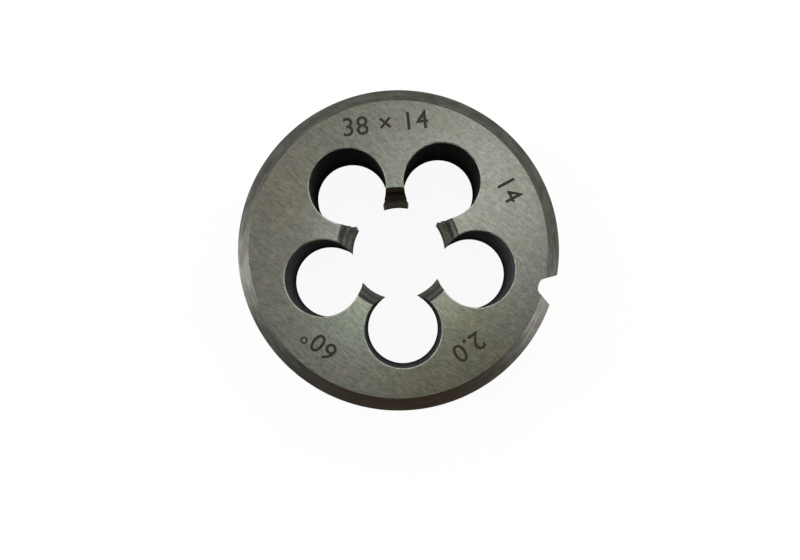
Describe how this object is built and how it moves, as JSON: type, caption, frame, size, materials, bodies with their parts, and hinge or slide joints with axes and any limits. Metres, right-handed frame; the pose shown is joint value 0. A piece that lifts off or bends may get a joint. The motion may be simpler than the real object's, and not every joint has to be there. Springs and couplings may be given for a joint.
{
  "type": "round threading die",
  "caption": "Solid round die for cutting outside threads: a chamfered steel disc with a ring of chip holes round a threaded bore and a V-groove in its rim.",
  "frame": {"origin": "centre of the back face, on the die's axis", "axes": "+Z along the axis towards the marked face, +X towards the V-groove in the rim"},
  "size_m": [0.0379, 0.038, 0.014],
  "materials": {
    "tool_steel": "ground faces with fine straight grinding lines, turned rim chamfers, and dark drilled chip holes"
  },
  "bodies": {
    "root": {"round_die": "tool_steel"}
  },
  "joints": []
}
